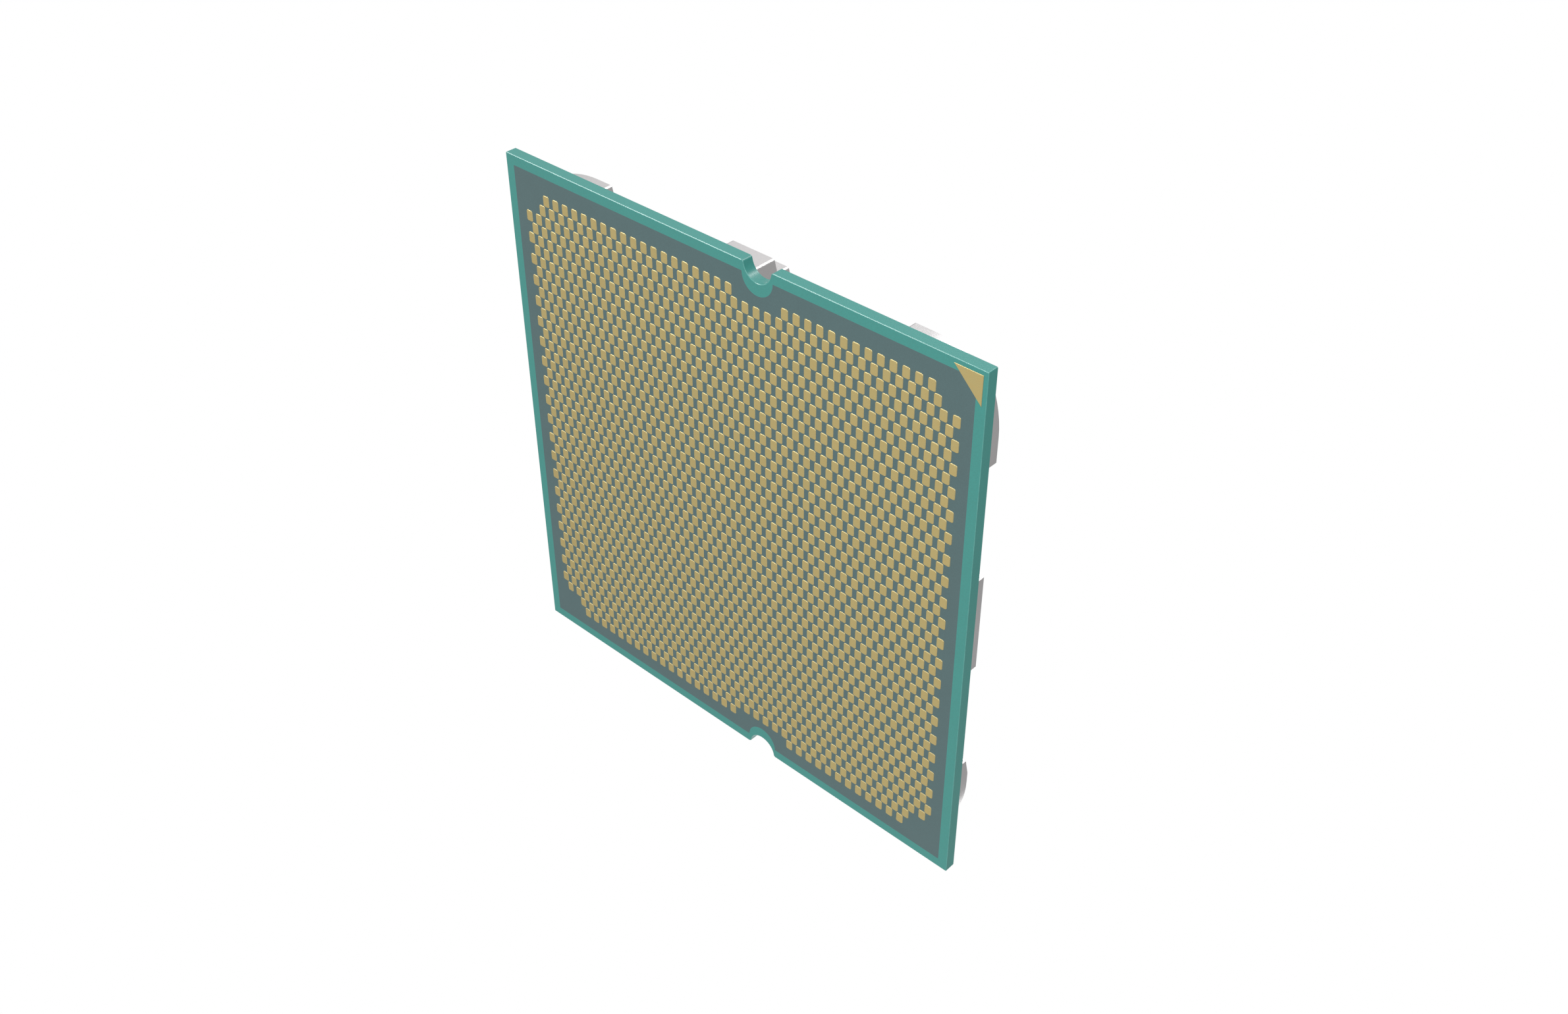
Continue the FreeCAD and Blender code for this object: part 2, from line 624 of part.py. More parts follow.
def bead(name, corners):
    """One adhesive bead of the first quarter, as a body."""
    body = new_body(name, LID_FACE)
    outline = new_sketch(body, "outline")
    draw_polygon(outline, corners)
    add_pad(body, outline, "sizes.adhesive_thickness")
    return body


def make_adhesive():
    """The eight beads that hold the heat spreader's legs to the card."""
    inner = "(sizes.cavity_half + sizes.bead_setback)"
    outer_x = "(sizes.lid_half_x - sizes.bead_setback)"
    outer_y = "(sizes.lid_half_y - sizes.bead_setback)"
    leg_x = "(sizes.x_leg_half - sizes.bead_setback)"
    leg_y = "(sizes.y_leg_half - sizes.bead_setback)"
    start_x = "(sizes.x_corner_leg + sizes.bead_setback)"
    start_y = "(sizes.y_corner_leg + sizes.bead_setback)"
    x_bead = bead("x_bead", [(inner, "-" + leg_x), (outer_x, "-" + leg_x), (outer_x, leg_x), (inner, leg_x)])
    y_bead = bead("y_bead", [("-" + leg_y, inner), (leg_y, inner), (leg_y, outer_y), ("-" + leg_y, outer_y)])
    corner_bead = bead("corner_bead", [
        (inner, start_x), (outer_x, start_x), (outer_x, inner), (inner, outer_y), (start_y, outer_y),
        (start_y, inner), (inner, inner)])
    doc.recompute()
    centre = FreeCAD.Vector(0, 0, 0)
    along_x, along_y = FreeCAD.Vector(1, 0, 0), FreeCAD.Vector(0, 1, 0)
    right_corners = [corner_bead.Shape, corner_bead.Shape.mirror(centre, along_y)]
    solids = [x_bead.Shape, x_bead.Shape.mirror(centre, along_x)]
    solids += [y_bead.Shape, y_bead.Shape.mirror(centre, along_y)]
    solids += right_corners
    solids += [corner.mirror(centre, along_x) for corner in right_corners]
    return make_group("spreader_adhesive", solids)


# ---- The dies ----


def box_at(name, length, width, height, centre_x, centre_y, bottom):
    """A block centred on (centre_x, centre_y) and standing on `bottom`, all of them expressions."""
    box = doc.addObject("Part::Box", name)
    box.Label = name
    box.setExpression("Length", length)
    box.setExpression("Width", width)
    box.setExpression("Height", height)
    box.setExpression("Placement.Base.x", "%s - (%s) / 2" % (centre_x, length))
    box.setExpression("Placement.Base.y", "%s - (%s) / 2" % (centre_y, width))
    box.setExpression("Placement.Base.z", bottom)
    return box


def bump_places(length, width, centre_x, centre_y):
    """A grid of bumps that fits under a die of this length and width."""
    pitch = size("bump_pitch")
    across = int(length / pitch)
    along = int(width / pitch)
    for column in range(across):
        for row in range(along):
            x = centre_x + (column - (across - 1) / 2) * pitch
            y = centre_y + (row - (along - 1) / 2) * pitch
            yield x, y


def make_bumps(name, length, width, centre_x, centre_y):
    """The solder bumps under one die."""
    bump = doc.addObject("Part::Cylinder", name + "_bump")
    bump.setExpression("Radius", "sizes.bump_radius")
    bump.setExpression("Height", "sizes.bump_height")
    bump.setExpression("Placement.Base.z", LID_FACE)
    doc.recompute()
    places = bump_places(value(length), value(width), value(centre_x), value(centre_y))
    return make_group(name, copies_at(bump.Shape, places))


def make_underfill(name, length, width, centre_x, centre_y, die, bumps):
    """The resin that fills the gap under one die and climbs its sides in a sloping bead."""
    body = new_body(name + "_block", LID_FACE)
    body.setExpression("Placement.Base.x", centre_x)
    body.setExpression("Placement.Base.y", centre_y)
    outline = new_sketch(body, "outline")
    margin = " + 2 * sizes.underfill_margin"
    draw_centred_rectangle(outline, length + margin, width + margin)
    add_pad(body, outline, "sizes.underfill_height")
    top = size("underfill_height")
    add_dress_up(
        body, "Chamfer", "slope", lambda edge: is_level_at(edge, top), "sizes.underfill_height * 0.9")
    return cut_away(name, body, [die, bumps])


def make_die_stack(name, length, width, centre_x, centre_y):
    """A die with its bumps, its underfill and the solder that joins it to the heat spreader."""
    place = (length, width, centre_x, centre_y)
    die = box_at(name, length, width, "sizes.die_thickness", centre_x, centre_y, DIE_BOTTOM)
    solder = box_at(
        name + "_thermal_solder", length, width, "sizes.solder_thickness", centre_x, centre_y, DIE_TOP)
    bumps = make_bumps(name + "_bumps", *place)
    underfill = make_underfill(name + "_underfill", *place, die, bumps)
    return [die, solder, bumps, underfill]


def make_dies():
    """Two compute dies side by side and the input/output die in front of them."""
    compute_size = ("sizes.compute_die_x", "sizes.compute_die_y")
    compute_y = "sizes.compute_centre_y"
    parts = make_die_stack("compute_die_1", *compute_size, "-sizes.compute_centre_x", compute_y)
    parts += make_die_stack("compute_die_2", *compute_size, "sizes.compute_centre_x", compute_y)
    parts += make_die_stack("io_die", "sizes.io_die_x", "sizes.io_die_y", "0", "-sizes.io_centre_y")
    return parts


# ---- The capacitors ----


def chip_places():
    """(distance from the centre, place along the side, quarter turns) for every capacitor."""
    for turns in range(4):
        count, first, last = CHIPS_ON_X if turns % 2 == 0 else CHIPS_ON_Y
        for number in range(count):
            along = first + (last - first) * number / (count - 1)
            for place in (along, -along):
                for out in (size("chip_inner_row"), size("chip_outer_row")):
                    if not beside_notch(out, place, turns):
                        yield out, place, turns


def beside_notch(out, place, turns):
    """True for a place in the outer ring that a locating notch leaves too little card for."""
    if turns % 2 == 1 or out < size("chip_outer_row"):
        return False
    y = place if turns == 0 else -place
    return abs(y + size("notch_shift")) < CHIP_NOTCH_CLEAR


def chips_of(shape):
    """Copies of a shape drawn for a capacitor at the origin, one for every capacitor."""
    copies = []
    for out, place, turns in chip_places():
        copy = shape.translated(FreeCAD.Vector(out, place, 0))
        copy.rotate(FreeCAD.Vector(0, 0, 0), FreeCAD.Vector(0, 0, 1), 90 * turns)
        copies.append(copy)
    return copies


def make_capacitors():
    """The ceramic chip capacitors: bodies, end terminals and the solder at their feet."""
    terminal_centre = "(sizes.chip_length - sizes.chip_terminal) / 2"
    ceramic = box_at(
        "chip_ceramic", "sizes.chip_length - 2 * sizes.chip_terminal", "sizes.chip_width",
        "sizes.chip_height", "0", "0", LID_FACE)
    terminal = box_at(
        "chip_end", "sizes.chip_terminal", "sizes.chip_width", "sizes.chip_height",
        terminal_centre, "0", LID_FACE)
    fillet = doc.addObject("Part::Wedge", "chip_solder_foot")
    for edge, expression in (
            ("Xmin", "0"), ("Xmax", "sizes.chip_width"), ("Ymin", "0"), ("Ymax", "sizes.chip_solder"),
            ("Zmin", "0"), ("Zmax", "sizes.chip_solder"), ("X2min", "0"), ("X2max", "sizes.chip_width"),
            ("Z2min", "0"), ("Z2max", "sizes.chip_solder * 0.1")):
        fillet.setExpression(edge, expression)
    fillet.Placement.Rotation = FreeCAD.Rotation(FreeCAD.Vector(0, 0, 1), -90)
    fillet.setExpression("Placement.Base.x", "sizes.chip_length / 2")
    fillet.setExpression("Placement.Base.y", "sizes.chip_width / 2")
    fillet.setExpression("Placement.Base.z", LID_FACE)
    doc.recompute()
    half_turn = FreeCAD.Rotation(FreeCAD.Vector(0, 0, 1), 180)
    turned = FreeCAD.Placement(FreeCAD.Vector(0, 0, 0), half_turn).toMatrix()
    groups = [make_group("capacitor_ceramics", chips_of(ceramic.Shape))]
    for name, shape in (("capacitor_terminals", terminal.Shape), ("capacitor_solder", fillet.Shape)):
        other_end = shape.transformed(turned)
        groups.append(make_group(name, chips_of(shape) + chips_of(other_end)))
    return groups


# ---- Check and write ----


def check(parts):
    """Stop if any object failed or any sub-part isn't a sound solid."""
    doc.recompute()
    failed = [item.Name for item in doc.Objects if {"Invalid", "Error"} & set(item.State)]
    if failed:
        raise RuntimeError("failed objects: " + ", ".join(failed))
    for part in parts:
        if part.Shape.isNull() or not part.Shape.isValid() or not part.Shape.Solids:
            raise RuntimeError(part.Label + " isn't a valid solid")


def write(parts):
    """Write each sub-part under its label."""
    os.makedirs("parts", exist_ok=True)
    for part in parts:
        part.Shape.exportStep("parts/%s.step" % part.Label)


fill_sheet()
sub_parts = make_card()
sub_parts += make_lands()
sub_parts.append(make_mark("pin_one_mark_land_side", "sizes.land_thickness", "0"))
sub_parts.append(make_mark("pin_one_mark_lid_side", "sizes.lid_mark_thickness", LID_FACE))
sub_parts.append(make_heat_spreader())
sub_parts.append(make_adhesive())
sub_parts += make_dies()
sub_parts += make_capacitors()
check(sub_parts)
write(sub_parts)
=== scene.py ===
import json
import math

import bmesh
import bpy
from mathutils import Matrix, Vector


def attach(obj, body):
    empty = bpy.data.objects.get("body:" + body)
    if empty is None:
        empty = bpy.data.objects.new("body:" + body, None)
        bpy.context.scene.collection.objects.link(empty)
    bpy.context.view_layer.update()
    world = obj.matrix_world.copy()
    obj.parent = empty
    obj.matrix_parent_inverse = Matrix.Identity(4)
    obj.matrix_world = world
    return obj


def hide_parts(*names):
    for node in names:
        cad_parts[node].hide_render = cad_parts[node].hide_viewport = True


# A desktop processor, lying pads down. Everything is in metres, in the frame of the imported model.

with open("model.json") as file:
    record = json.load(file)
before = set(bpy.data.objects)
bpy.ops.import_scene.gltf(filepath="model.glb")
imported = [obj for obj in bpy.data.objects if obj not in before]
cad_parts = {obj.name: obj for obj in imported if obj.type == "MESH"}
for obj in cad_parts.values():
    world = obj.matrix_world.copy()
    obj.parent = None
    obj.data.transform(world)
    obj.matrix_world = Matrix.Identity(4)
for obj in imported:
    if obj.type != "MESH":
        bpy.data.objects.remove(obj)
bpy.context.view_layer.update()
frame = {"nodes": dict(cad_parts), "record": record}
nodes = frame["nodes"]

MM = 0.001
WHITE = (1, 1, 1, 1)

# How far edges are taken off the finished pieces, in mm.
PAD_EDGE = 0.028
MARK_EDGE = 0.022
SPREADER_EDGE = 0.052
CERAMIC_EDGE = 0.02
TERMINAL_EDGE = 0.035

# Angles between neighbouring faces, in degrees.
FLAT_ANGLE = 0.5            # faces that meet at less than this are merged
CREASE_ANGLE = 28           # edges are shaded smooth up to this
SHARP_ANGLE = 40
CHAMFER_ANGLE = 45
CHAMFER_SPAN = 4            # a chamfer's angle may be off by this

SAME_PLACE = 1e-7           # points closer than this are one point
CONTACT_LEVEL = 1e-6        # the pads' contact faces lie below this height

# The camera stands under the processor's pin-one corner and looks up at the contact pads.
CAMERA_PLACE = Vector((-0.06898, -0.06374, -0.06359))
CAMERA_RIGHT = Vector((0.0001, -0.7353, 0.6778))
CAMERA_UP = Vector((-0.7967, 0.4096, 0.4444))
CAMERA_BACK = Vector((-0.6044, -0.5400, -0.5857))
CAMERA_SENSOR = 36          # mm
CAMERA_LENS = 38.855        # mm

# The floor is a disc just under the pads, and fades out towards its rim.
FLOOR_GAP = 0.1 * MM
FLOOR_RADIUS = 0.45
FADE_START = 0.3            # as a share of the radius
FADE_END = 0.95

# The studio's light falls off evenly from one side to the other: its mean, and its slope along X, Y and Z.
LIGHT_MEAN = 0.75
LIGHT_SLOPE = (0.052, 0.315, -0.045)

# Dark flags hang beside the set and a pale card lies below it: where each is seen from the processor, how
# much light it takes away (the card gives some back), and how tightly it ends.
FLAGS = (
    ((0.45, 0.30, 0.75), 0.55, 3.0),
    ((0.62, 0.75, -0.10), 0.90, 6.0),
    ((0.00, 0.00, -1.00), -0.20, 1.0),
)

# Soft lights that face the processor: name, direction, distance, sides, watts, and the way that the first
# side runs.
UPRIGHT = (0, 0, 1)
SOFTBOXES = (
    ("notch_softbox", (-0.72, -0.28, 0.64), 0.40, (0.10, 0.10), 0.50, UPRIGHT),
    ("rear_softbox", (-0.60, 0.15, 0.78), 0.40, (0.15, 0.15), 0.22, UPRIGHT),
    ("low_softbox", (-0.63, 0.61, -0.48), 0.40, (0.17, 0.06), 0.36, (0.15, 0.24, 0.11)),
    ("side_softbox", (0.88, 0.15, 0.45), 0.45, (0.25, 0.25), 0.30, UPRIGHT),
    ("key_softbox", (-0.58, -0.58, -0.58), 0.208, (0.06, 0.06), 0.12, UPRIGHT),
    ("fill_softbox", (-0.55, 0.42, 0.72), 0.40, (0.20, 0.20), 0.03, UPRIGHT),
)


# ---- Node trees ----


class Graph:
    """A node tree, with short calls for the nodes that materials and the studio share."""

    def __init__(self, tree):
        self.tree = tree
        self.tree.nodes.clear()

    def node(self, kind, operation=None):
        """A new node, set to an operation where its kind has several."""
        made = self.tree.nodes.new("ShaderNode" + kind)
        if operation is not None:
            made.operation = operation
        return made

    def link(self, start, end):
        self.tree.links.new(start, end)

    def feed(self, socket, source):
        """Link a socket to an output, or set it to a plain value."""
        if isinstance(source, bpy.types.NodeSocket):
            self.link(source, socket)
        else:
            socket.default_value = source

    def math(self, operation, first, second=0.0):
        """One step of arithmetic."""
        node = self.node("Math", operation)
        self.feed(node.inputs[0], first)
        self.feed(node.inputs[1], second)
        return node.outputs["Value"]

    def dot(self, first, second):
        """The dot product of two vectors."""
        node = self.node("VectorMath", "DOT_PRODUCT")
        self.feed(node.inputs[0], first)
        self.feed(node.inputs[1], second)
        return node.outputs["Value"]

    def blend(self, share, first, second):
        """Mix two shaders."""
        node = self.node("MixShader")
        self.feed(node.inputs["Fac"], share)
        self.link(first, node.inputs[1])
        self.link(second, node.inputs[2])
        return node.outputs["Shader"]


class Shader(Graph):
    """A material made of a principled surface and procedural patterns."""

    def __init__(self, name):
        self.material = bpy.data.materials.new(name)
        self.material.use_nodes = True
        super().__init__(self.material.node_tree)
        self.output = self.node("OutputMaterial")
        self.body = self.node("BsdfPrincipled")
        self.link(self.body.outputs["BSDF"], self.output.inputs["Surface"])
        self.place = self.node("TexCoord").outputs["Object"]

    def noise(self, grain, detail=2.0, stretch=(1, 1, 1)):
        """Noise whose features are about `grain` millimetres across; its value runs from 0 to 1."""
        mapping = self.node("Mapping")
        mapping.inputs["Scale"].default_value = [1 / (grain * MM * side) for side in stretch]
        self.link(self.place, mapping.inputs["Vector"])
        texture = self.node("TexNoise")
        texture.inputs["Scale"].default_value = 1.0
        texture.inputs["Detail"].default_value = detail
        self.link(mapping.outputs["Vector"], texture.inputs["Vector"])
        return texture.outputs["Fac"]

    def spread(self, value, low, high, out_low=0.0, out_high=1.0):
        """Map low..high of a value to out_low..out_high, held at the ends."""
        node = self.node("MapRange")
        node.inputs["From Min"].default_value = low
        node.inputs["From Max"].default_value = high
        node.inputs["To Min"].default_value = out_low
        node.inputs["To Max"].default_value = out_high
        self.feed(node.inputs["Value"], value)
        return node.outputs["Result"]

    def mix(self, share, first, second):
        """Mix two colours."""
        node = self.node("Mix")
        node.data_type = "RGBA"
        self.feed(node.inputs["Factor"], share)
        self.feed(node.inputs["A"], first)
        self.feed(node.inputs["B"], second)
        return [socket for socket in node.outputs if socket.type == "RGBA"][0]

    def geometry(self, fact):
        """A fact about the point being shaded, such as its normal."""
        return self.node("NewGeometry").outputs[fact]

    def edge(self, reach):
        """1 near the mesh's sharp edges, within `reach` millimetres, and 0 elsewhere."""
        rounded = self.node("Bevel")
        rounded.samples = 4
        rounded.inputs["Radius"].default_value = reach * MM
        likeness = self.dot(rounded.outputs["Normal"], self.geometry("Normal"))
        return self.spread(likeness, 0.98, 0.8)

    def slant(self):
        """1 on faces that lean about 45 degrees, such as a level edge's chamfer, and 0 on the rest."""
        parts = self.node("SeparateXYZ")
        self.link(self.geometry("True Normal"), parts.inputs["Vector"])
        steepness = self.math("ABSOLUTE", parts.outputs["Z"])
        off = self.math("ABSOLUTE", self.math("SUBTRACT", steepness, math.cos(math.radians(45))))
        return self.spread(off, 0.25, 0.15)

    def bump(self, height, depth, strength=1.0, under=None):
        """Turn a height of 0 to 1 into relief `depth` millimetres deep."""
        node = self.node("Bump")
        node.inputs["Strength"].default_value = strength
        node.inputs["Distance"].default_value = depth * MM
        self.feed(node.inputs["Height"], height)
        if under is not None:
            self.link(under, node.inputs["Normal"])
        return node.outputs["Normal"]

    def surface(self, **inputs):
        """Set the surface's inputs by name; an underscore stands for a space."""
        for name, source in inputs.items():
            self.feed(self.body.inputs[name.replace("_", " ")], source)
        return self.material


# ---- Materials ----


def tone(red, green, blue, factor=1.0):
    """A linear colour, lightened or darkened by a factor."""
    return (red * factor, green * factor, blue * factor, 1.0)


def resin(name, colour, roughness, grain, relief, mottle=0.05, worn=0.0):
    """A satin resin: fine specks, slow changes of tone, and paler edges where it is worn."""
    speck = 0.12
    shader = Shader(name)
    fine = shader.noise(grain, detail=3.0)
    slow = shader.noise(grain * 30)
    cloudy = shader.mix(shader.spread(slow, 0.3, 0.7), tone(*colour, 1 - mottle), tone(*colour, 1 + mottle))
    specks = shader.mix(shader.spread(fine, 0.3, 0.7), tone(*colour, 1 - speck), tone(*colour, 1 + speck))
    grainy = shader.mix(0.5, cloudy, specks)
    if worn > 0:
        pale = [min(1.0, channel * 1.25 + 0.06) for channel in colour]
        patchy = shader.spread(shader.noise(0.5, detail=3.0), 0.35, 0.65)
        rim = shader.math("MULTIPLY", shader.edge(0.05), shader.math("MULTIPLY", patchy, worn))
        grainy = shader.mix(rim, grainy, tone(*pale))
    return shader.surface(
        Base_Color=grainy,
        Roughness=shader.spread(fine, 0.25, 0.75, roughness - 0.06, roughness + 0.06),
        Normal=shader.bump(fine, relief))


def laminate():
    """Satin teal resin: fine specks, faint layers on the cut edges, and a glossier chamfer painted paler as
    a highlight.
    """
    colour = (0.029, 0.232, 0.202)
    painted_highlight_colour = (0.10, 0.35, 0.31)
    shader = Shader("laminate_teal")
    fine = shader.noise(0.08, detail=3.0)
    slow = shader.noise(2.6)
    layers = shader.noise(0.05, stretch=(60, 60, 1))
    cloudy = shader.mix(shader.spread(slow, 0.3, 0.7), tone(*colour, 0.96), tone(*colour, 1.04))
    layered = shader.mix(shader.spread(layers, 0.35, 0.7, 0.0, 0.25), cloudy, tone(*colour, 1.06))
    specks = shader.mix(shader.spread(fine, 0.3, 0.7), tone(*colour, 0.90), tone(*colour, 1.12))
    grainy = shader.mix(0.5, layered, specks)
    slant = shader.slant()
    patchy = shader.spread(shader.noise(0.6, detail=3.0), 0.3, 0.6, 0.55, 1.0)
    rim = shader.math("MULTIPLY", slant, patchy)
    matt = shader.spread(fine, 0.25, 0.75, 0.32, 0.42)
    # The paler colour on the chamfer is a painted highlight; its lower roughness there is real gloss.
    return shader.surface(
        Base_Color=shader.mix(rim, grainy, tone(*painted_highlight_colour)),
        Roughness=shader.math("MULTIPLY", matt, shader.spread(slant, 0.0, 1.0, 1.0, 0.6)),
        Specular_IOR_Level=0.6,
        Normal=shader.bump(fine, 0.003))


def gold():
    """Matt gold plating: each pad a shade of its own, fine grain, faint probe scuffs and rims painted paler
    as a highlight.
    """
    colour = (0.575, 0.470, 0.212)
    blotch_colour = (0.60, 0.455, 0.185)
    bevel_highlight_colour = (0.56, 0.47, 0.235)
    shader = Shader("gold_plate")
    fine = shader.noise(0.035, detail=3.0)
    blotch = shader.noise(0.35)
    each_pad = shader.geometry("Random Per Island")
    by_pad = shader.mix(each_pad, tone(*colour, 0.97), tone(*colour, 1.03))
    toned = shader.mix(shader.spread(blotch, 0.35, 0.7, 0.0, 0.5), by_pad, tone(*blotch_colour))
    grainy = shader.mix(shader.spread(fine, 0.3, 0.7, 0.0, 0.3), toned, tone(*colour, 0.90))
    scuff = shader.noise(0.05, detail=1.0, stretch=(8, 1, 1))
    slant = shader.slant()
    matt = shader.spread(fine, 0.25, 0.75, 0.42, 0.56)
    # The creamier colour on the slanted bevels is a painted highlight; the slightly lower roughness there
    # is real.
    return shader.surface(
        Base_Color=shader.mix(slant, grainy, tone(*bevel_highlight_colour)),
        Metallic=1.0,
        Roughness=shader.math("MULTIPLY", matt, shader.spread(slant, 0.0, 1.0, 1.0, 0.95)),
        Normal=shader.bump(fine, 0.002, under=shader.bump(scuff, 0.001)))


def nickel():
    """Fine satin nickel plating: grain, faint cloudiness, sparse hairline scratches and edges painted paler
    as a highlight.
    """
    colour = (0.665, 0.648, 0.650)
    painted_highlight_colour = (0.74, 0.72, 0.70)
    shader = Shader("nickel_plate")
    fine = shader.noise(0.045, detail=3.0)
    slow = shader.noise(6.0, detail=3.0)
    scratch_a = shader.noise(0.03, detail=1.0, stretch=(400, 1, 1))
    scratch_b = shader.noise(0.04, detail=1.0, stretch=(1, 300, 1))
    hairs = shader.math(
        "MAXIMUM", shader.spread(scratch_a, 0.80, 0.86), shader.spread(scratch_b, 0.80, 0.86))
    cloudy = shader.mix(shader.spread(slow, 0.35, 0.65), tone(*colour, 0.97), tone(*colour, 1.02))
    grainy = shader.mix(shader.spread(fine, 0.3, 0.75, 0.0, 0.6), cloudy, tone(*colour, 0.92))
    slow_gloss = shader.spread(slow, 0.3, 0.7, 0.30, 0.36)
    fine_gloss = shader.spread(fine, 0.25, 0.75, -0.04, 0.05)
    scratches = shader.bump(hairs, 0.0006, strength=0.5)
    # The paler tone along the edges is a painted highlight.
    return shader.surface(
        Base_Color=shader.mix(shader.edge(0.08), grainy, tone(*painted_highlight_colour)),
        Metallic=1.0,
        Roughness=shader.math("ADD", slow_gloss, fine_gloss),
        Normal=shader.bump(fine, 0.0022, under=scratches))


def metal(name, colour, tint, roughness, grain=0.06, relief=0.003):
    """Plain metal with grain, patches of a second tint and uneven gloss."""
    shader = Shader(name)
    fine = shader.noise(grain, detail=3.0)
    patch = shader.noise(grain * 8, detail=3.0)
    mixed = shader.mix(shader.spread(patch, 0.35, 0.65, 0.0, 0.8), tone(*colour), tone(*tint, 0.9))
    return shader.surface(
        Base_Color=mixed,
        Metallic=1.0,
        Roughness=shader.spread(patch, 0.3, 0.7, roughness - 0.08, roughness + 0.08),
        Normal=shader.bump(fine, relief))


def silicon():
    """Polished silicon: dark, almost even, with faint smears from cleaning."""
    colour = (0.085, 0.090, 0.105)
    shader = Shader("silicon")
    smear = shader.noise(0.8, detail=4.0, stretch=(1, 4, 1))
    return shader.surface(
        Base_Color=shader.mix(shader.spread(smear, 0.3, 0.7), tone(*colour), tone(*colour, 1.25)),
        Metallic=0.6,
        Roughness=shader.spread(smear, 0.3, 0.7, 0.10, 0.24),
        Normal=shader.bump(shader.noise(0.05), 0.0008))


MATERIALS = {
    "laminate_teal": laminate(),
    "mask_grey_green": resin("mask_grey_green", (0.063, 0.116, 0.119), 0.42, grain=0.08, relief=0.003),
    "mask_green": resin("mask_green", (0.045, 0.175, 0.150), 0.36, grain=0.07, relief=0.003),
    "gold_plate": gold(),
    "nickel_plate": nickel(),
    "copper": metal("copper", (0.86, 0.42, 0.25), (0.62, 0.30, 0.20), 0.34),
    "silicon": silicon(),
    "solder": metal("solder", (0.62, 0.63, 0.65), (0.50, 0.51, 0.54), 0.26),
    "underfill": resin("underfill", (0.012, 0.011, 0.012), 0.22, grain=0.12, relief=0.004, mottle=0.2),
    "sealant": resin("sealant", (0.020, 0.020, 0.022), 0.62, grain=0.10, relief=0.008, mottle=0.2),
    "ceramic_tan": resin(
        "ceramic_tan", (0.285, 0.175, 0.100), 0.55, grain=0.04, relief=0.003, mottle=0.12, worn=0.6),
    "tin": metal("tin", (0.66, 0.655, 0.64), (0.54, 0.53, 0.52), 0.38, grain=0.05, relief=0.005),
}

for subpart in frame["record"]["subparts"]:
    mesh = nodes[subpart["node"]].data
    mesh.materials.clear()
    mesh.materials.append(MATERIALS[subpart["material_slot"]])


# ---- Pieces finished in mesh code ----


def face_angle(edge):
    """The angle in degrees that the surface turns through at an edge."""
    return math.degrees(edge.calc_face_angle(0.0))


def is_sharp(edge):
    """True for an edge where two faces meet at a clear angle."""
    return edge.is_manifold and face_angle(edge) > SHARP_ANGLE


def is_chamfer_side(edge):
    """True for an edge along either side of a level chamfer: two faces there meet at 45 degrees."""
    level = abs(edge.verts[0].co.z - edge.verts[1].co.z) < SAME_PLACE
    return level and edge.is_manifold and abs(face_angle(edge) - CHAMFER_ANGLE) < CHAMFER_SPAN


def is_contact_rim(edge):
    """True for an edge of a pad's contact face."""
    return all(vertex.co.z < CONTACT_LEVEL for vertex in edge.verts)


def clean_copy(source):
    """A mesh to work on, with its flat faces merged so that only real edges are left."""
    work = bmesh.new()
    work.from_mesh(source)
    bmesh.ops.remove_doubles(work, verts=work.verts, dist=SAME_PLACE)
    bmesh.ops.dissolve_limit(
        work, angle_limit=math.radians(FLAT_ANGLE), verts=work.verts, edges=work.edges,
        use_dissolve_boundaries=False)
    return work


def finished(node_name, slot_name, wanted, width, segments=2):
    """A copy of a CAD node with the edges for which wanted(edge) is true taken off, `width` mm each way."""
    work = clean_copy(nodes[node_name].data)
    bmesh.ops.bevel(
        work, geom=[edge for edge in work.edges if wanted(edge)], offset=width * MM, segments=segments,
        profile=0.5, affect="EDGES", clamp_overlap=True, offset_type="OFFSET")
    for face in work.faces:
        face.smooth = True
    for edge in work.edges:
        edge.smooth = edge.is_manifold and face_angle(edge) < CREASE_ANGLE
    bmesh.ops.recalc_face_normals(work, faces=work.faces)
    mesh = bpy.data.meshes.new(node_name + "_finished")
    work.to_mesh(mesh)
    work.free()
    mesh.materials.append(MATERIALS[slot_name])
    piece = bpy.data.objects.new(node_name + "_finished", mesh)
    bpy.context.scene.collection.objects.link(piece)
    normals = piece.modifiers.new("even_shading", "WEIGHTED_NORMAL")
    normals.keep_sharp = True
    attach(piece, "root")
    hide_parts(node_name)


for bank in ("land_pads_pin_one", "land_pads_left", "land_pads_right", "land_pads_far"):
    finished(bank, "gold_plate", is_contact_rim, PAD_EDGE, segments=1)
finished("pin_one_mark_land_side", "gold_plate", is_contact_rim, MARK_EDGE, segments=1)
finished("heat_spreader", "nickel_plate", is_chamfer_side, SPREADER_EDGE)
finished("capacitor_ceramics", "ceramic_tan", is_sharp, CERAMIC_EDGE)
finished("capacitor_terminals", "tin", is_sharp, TERMINAL_EDGE)


# ---- Floor, light and camera ----


def floor_material():
    """Pale matt grey that is clear from below and fades out towards the floor's rim."""
    shader = Shader("floor")
    cloudy = shader.spread(shader.noise(30.0), 0.3, 0.7)
    shader.surface(
        Base_Color=shader.mix(cloudy, tone(1, 1, 1, 0.86), tone(1, 1, 1, 0.89)),
        Roughness=0.7)
    distance = shader.node("VectorMath", "LENGTH")
    shader.link(shader.place, distance.inputs[0])
    fade = shader.spread(distance.outputs["Value"], FADE_START * FLOOR_RADIUS, FADE_END * FLOOR_RADIUS)
    clearness = shader.math("MAXIMUM", shader.geometry("Backfacing"), fade)
    clear = shader.node("BsdfTransparent")
    blend = shader.blend(clearness, shader.body.outputs["BSDF"], clear.outputs["BSDF"])
    shader.link(blend, shader.output.inputs["Surface"])
    return shader.material


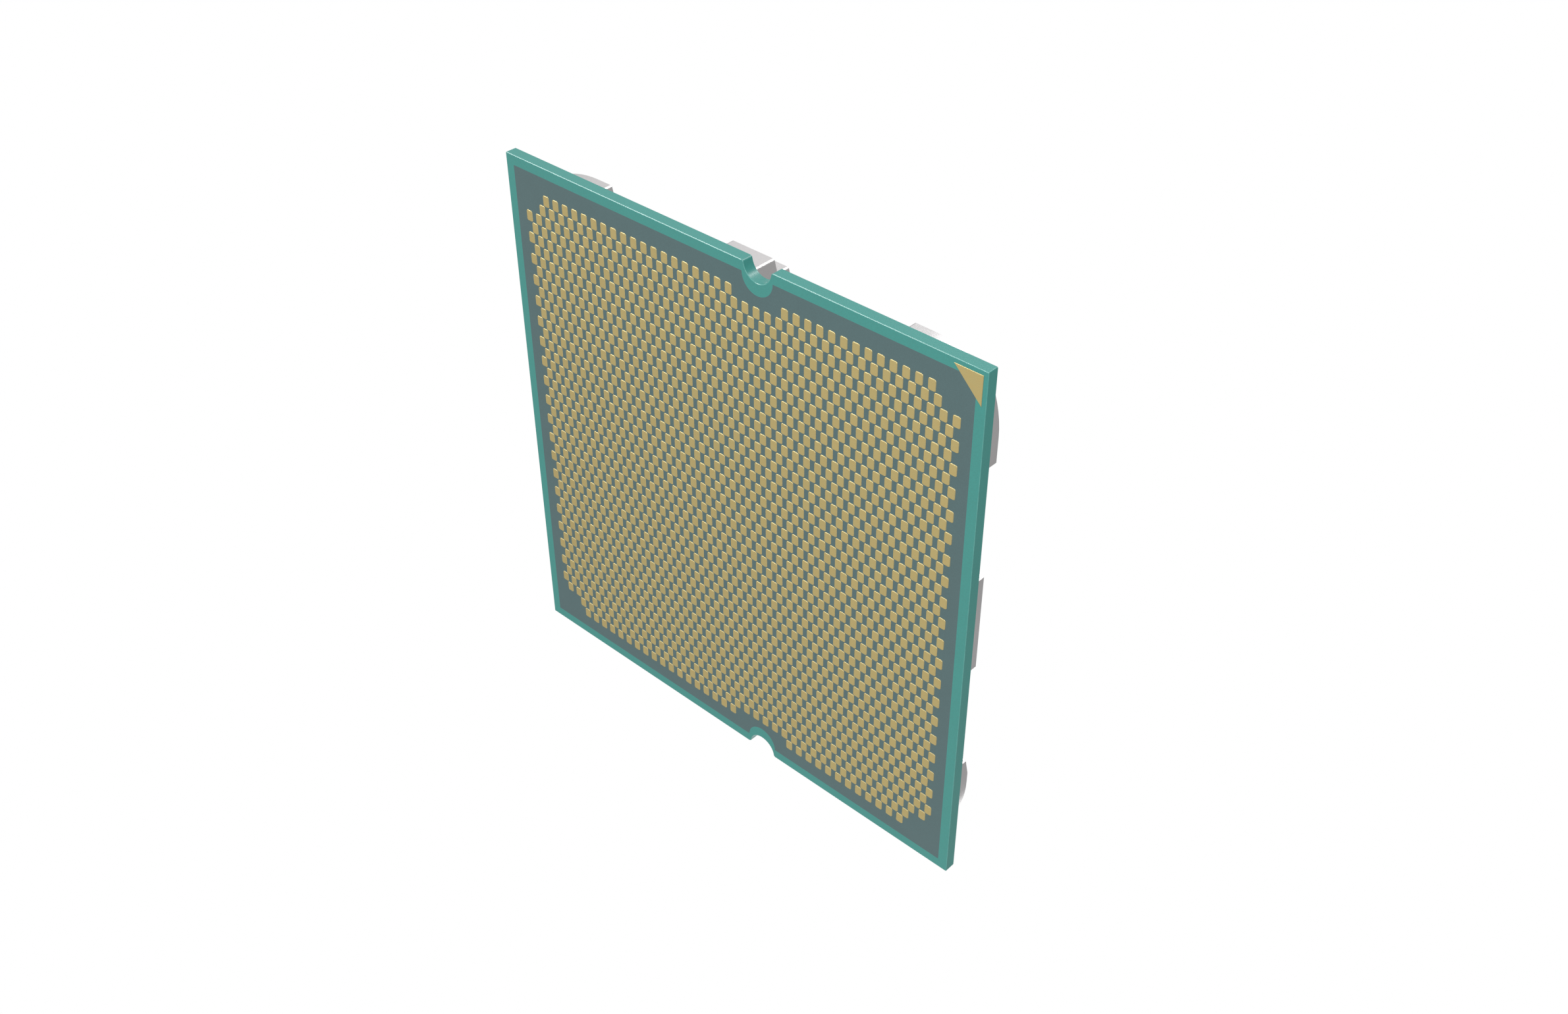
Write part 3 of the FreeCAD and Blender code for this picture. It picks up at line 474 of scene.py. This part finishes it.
def make_floor():
    """A pale floor seen only from above: from below it is clear, so that the pads can be seen."""
    bpy.ops.mesh.primitive_circle_add(
        vertices=96, radius=FLOOR_RADIUS, fill_type="NGON", location=(0, 0, -FLOOR_GAP))
    floor = bpy.context.object
    floor.name = "floor"
    floor.data.materials.append(floor_material())
    floor.visible_shadow = False
    floor.visible_diffuse = False
    floor.visible_glossy = False


def make_world():
    """Even studio light that slopes gently across the set, in front of a white backdrop."""
    world = bpy.data.worlds.new("studio")
    bpy.context.scene.world = world
    world.use_nodes = True
    graph = Graph(world.node_tree)
    direction = graph.node("TexCoord").outputs["Generated"]
    level = graph.math("ADD", graph.dot(direction, LIGHT_SLOPE), LIGHT_MEAN)
    for place, depth, falloff in FLAGS:
        facing = graph.math("MAXIMUM", graph.dot(direction, Vector(place).normalized()), 0.0)
        shade = graph.math("MULTIPLY", graph.math("POWER", facing, falloff), depth)
        level = graph.math("SUBTRACT", level, shade)
    light = graph.node("Background")
    light.inputs["Color"].default_value = WHITE
    graph.link(level, light.inputs["Strength"])
    backdrop = graph.node("Background")
    backdrop.inputs["Color"].default_value = WHITE
    seen = graph.node("LightPath").outputs["Is Camera Ray"]
    blend = graph.blend(seen, light.outputs["Background"], backdrop.outputs["Background"])
    graph.link(blend, graph.node("OutputWorld").inputs["Surface"])


def stand(thing, place, right, up, back):
    """Put an object at a place, with its X, Y and Z axes along three directions."""
    bpy.context.scene.collection.objects.link(thing)
    turn = Matrix((right, up, back)).transposed()
    thing.matrix_world = Matrix.Translation(place) @ turn.to_4x4()


def make_softbox(name, direction, distance, sides, power, along):
    """A soft light that faces the processor from a direction, with its first side turned `along`."""
    light = bpy.data.lights.new(name, "AREA")
    light.shape = "RECTANGLE"
    light.size, light.size_y = sides
    light.energy = power
    away = Vector(direction).normalized()
    first = (Vector(along) - away * away.dot(Vector(along))).normalized()
    stand(bpy.data.objects.new(name, light), away * distance, first, away.cross(first), away)


def make_camera():
    """The camera that looks up at the pads."""
    camera = bpy.data.objects.new("camera", bpy.data.cameras.new("camera"))
    stand(camera, CAMERA_PLACE, CAMERA_RIGHT, CAMERA_UP, CAMERA_BACK)
    camera.data.sensor_width = CAMERA_SENSOR
    camera.data.lens = CAMERA_LENS
    camera.data.clip_start = 0.001
    camera.data.clip_end = 10
    bpy.context.scene.camera = camera


make_floor()
make_world()
for softbox in SOFTBOXES:
    make_softbox(*softbox)
make_camera()
bpy.context.scene.view_settings.view_transform = "Standard"
